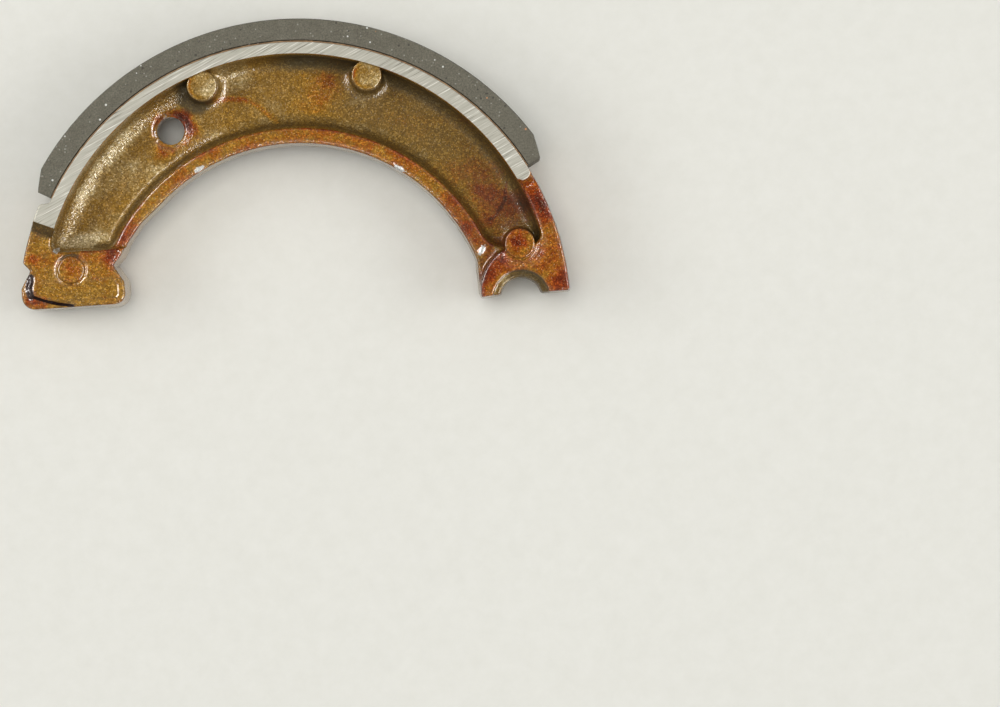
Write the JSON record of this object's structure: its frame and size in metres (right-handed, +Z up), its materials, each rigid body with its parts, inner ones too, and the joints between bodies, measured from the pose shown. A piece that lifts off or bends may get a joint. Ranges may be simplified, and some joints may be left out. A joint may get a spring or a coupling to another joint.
{
  "type": "brake shoe",
  "caption": "Cast half-moon drum brake shoe with a bonded friction lining, a notched cam foot, a half-round anchor pin seat and a spring hole in its web.",
  "frame": {"origin": "on the drum's axis, at the middle of the shoe's width", "axes": "+X from the drum's axis to the anchor pin's axis, +Y to the crown of the shoe, +Z along the drum's axis; the shoe lies flat with Z up"},
  "size_m": [0.1013, 0.0538, 0.02],
  "materials": {
    "lacquered_casting": "blasted casting under a glossy amber lacquer, bare where the rim's sides are ground",
    "lining": "matt moulded friction material",
    "adhesive": "cured adhesive"
  },
  "bodies": {
    "root": {"shoe_casting": "lacquered_casting", "friction_lining": "lining", "bond_line": "adhesive"}
  },
  "joints": []
}
